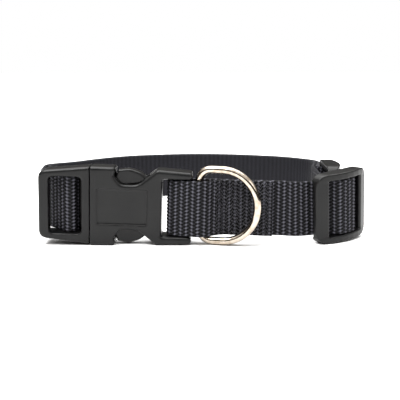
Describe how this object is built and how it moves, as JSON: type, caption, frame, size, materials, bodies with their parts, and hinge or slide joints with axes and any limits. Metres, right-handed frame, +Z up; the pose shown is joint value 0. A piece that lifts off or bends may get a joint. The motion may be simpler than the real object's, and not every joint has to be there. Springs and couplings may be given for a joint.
{
  "type": "dog collar",
  "caption": "Fastened webbing dog collar with a side-release buckle, a lead ring and adjusting slides, standing on its edge.",
  "frame": {"origin": "on the ground, under the middle of the collar's bounding box", "axes": "+X towards the slides' side of the loop as the buckle is seen from outside, +Z up; the buckle and the ring face -Y"},
  "size_m": [0.157, 0.1212, 0.0362],
  "materials": {
    "webbing": "woven nylon, matte",
    "plastic": "fine grain",
    "ring_metal": "nickel plated, bright"
  },
  "bodies": {
    "collar": {"webbing_strap": "webbing", "buckle_socket": "plastic", "buckle_plug": "plastic", "front_slide": "plastic", "rear_slide": "plastic"},
    "ring": {"lead_ring": "ring_metal"}
  },
  "joints": [
    {"name": "ring_swing", "type": "hinge", "parent": "collar", "child": "ring", "pos_m": [-0.00018, -0.05208, 0.0182], "axis": [0, 0, -1], "range_deg": [0, 90]}
  ]
}
